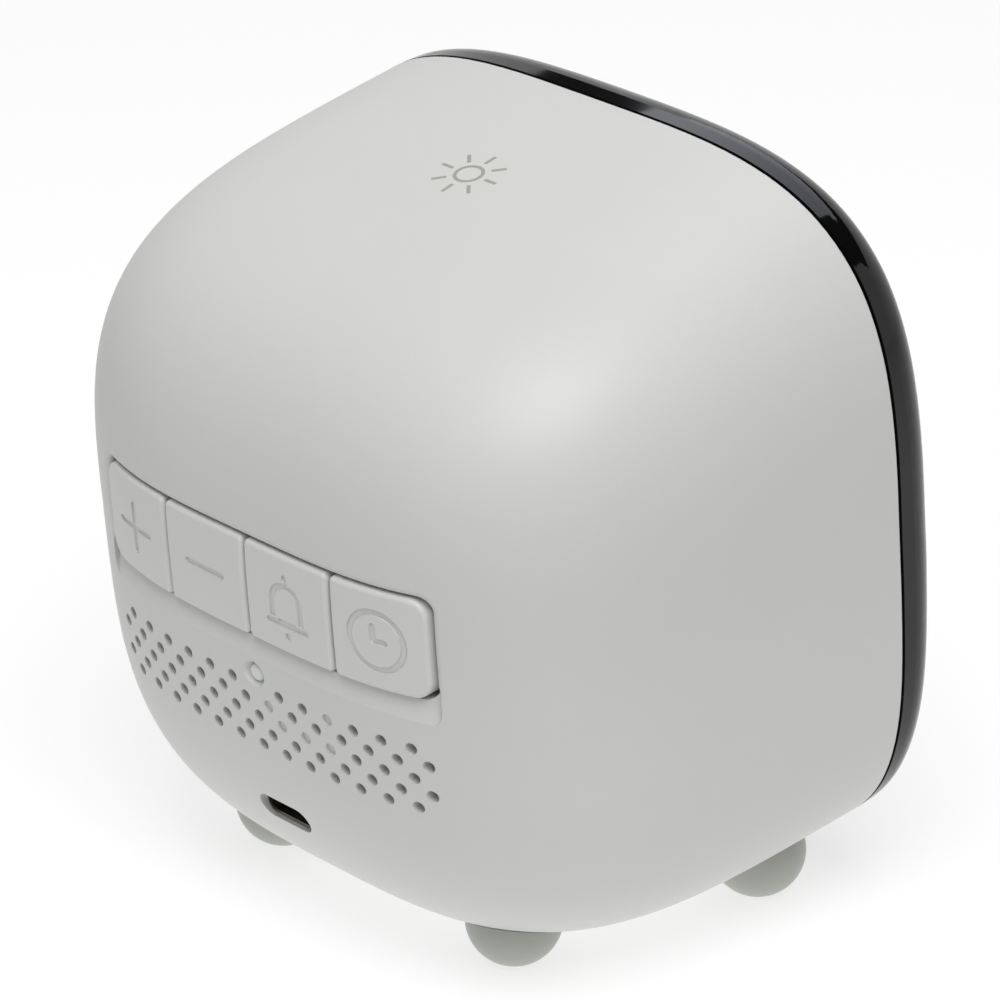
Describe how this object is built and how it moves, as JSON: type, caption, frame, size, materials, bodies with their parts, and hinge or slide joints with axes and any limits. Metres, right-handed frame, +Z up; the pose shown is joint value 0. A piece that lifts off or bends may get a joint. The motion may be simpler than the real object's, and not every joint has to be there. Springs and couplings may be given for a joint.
{
  "type": "digital alarm clock",
  "caption": "Soft-cornered digital alarm clock that leans back on ball feet, with a dark front display lens, a rear key row, a speaker grille and a power inlet.",
  "frame": {"origin": "on the table, under the middle of the whole clock's box", "axes": "+Z up, the display faces -Y, the keys and the inlet face +Y, +X is the display's right hand side as seen from the front"},
  "size_m": [0.0926, 0.0722, 0.0946],
  "materials": {
    "shell_grey": "fine matte moulding texture",
    "key_grey": "matte, engraved marks",
    "lens_black": "polished dark lens",
    "frame_black": "matte",
    "foot_grey": "satin",
    "pipe_milky": "milky light pipe",
    "board_green": "printed circuit board with solder mask",
    "part_black": "moulded",
    "display_white": "diffusing",
    "steel": "plated",
    "copper": "bare foil",
    "foam_black": "foam",
    "lead_sheath": "insulated wire",
    "tape_black": "double-sided adhesive foam"
  },
  "bodies": {
    "case": {"backup_cell": "steel", "cell_holder": "part_black", "clamp_screws": "steel", "controller_chip": "part_black", "digit_segments": "display_white", "display_housing": "part_black", "foot_front_left": "foot_grey", "foot_front_right": "foot_grey", "foot_rear_left": "foot_grey", "foot_rear_right": "foot_grey", "frame_screws": "steel", "front_frame": "frame_black", "front_lens": "lens_black", "indicator_led": "display_white", "key_board": "board_green", "key_board_screws": "steel", "key_cable": "lead_sheath", "key_switches": "part_black", "lens_tape": "tape_black", "light_pipe": "pipe_milky", "main_board": "board_green", "main_board_screws": "steel", "rear_shell": "shell_grey", "speaker_clamp": "part_black", "speaker_cone": "part_black", "speaker_frame": "steel", "speaker_gasket": "foam_black", "speaker_lead": "lead_sheath", "speaker_magnet": "steel", "touch_lead": "lead_sheath", "touch_plate": "copper", "usb_board": "board_green", "usb_board_screws": "steel", "usb_lead": "lead_sheath", "usb_socket": "steel", "usb_tongue": "part_black"},
    "key_plus": {"key_plus": "key_grey", "plunger_plus": "part_black"},
    "key_minus": {"key_minus": "key_grey", "plunger_minus": "part_black"},
    "key_alarm": {"key_alarm": "key_grey", "plunger_alarm": "part_black"},
    "key_time": {"key_time": "key_grey", "plunger_time": "part_black"}
  },
  "joints": [
    {"name": "press_plus", "type": "slide", "parent": "case", "child": "key_plus", "axis": [0, -0.9959, 0.0906], "range_m": [0, 0.0005], "stiffness_N_per_m": 1500},
    {"name": "press_minus", "type": "slide", "parent": "case", "child": "key_minus", "axis": [0, -0.9959, 0.0906], "range_m": [0, 0.0005], "stiffness_N_per_m": 1500},
    {"name": "press_alarm", "type": "slide", "parent": "case", "child": "key_alarm", "axis": [0, -0.9959, 0.0906], "range_m": [0, 0.0005], "stiffness_N_per_m": 1500},
    {"name": "press_time", "type": "slide", "parent": "case", "child": "key_time", "axis": [0, -0.9959, 0.0906], "range_m": [0, 0.0005], "stiffness_N_per_m": 1500}
  ]
}
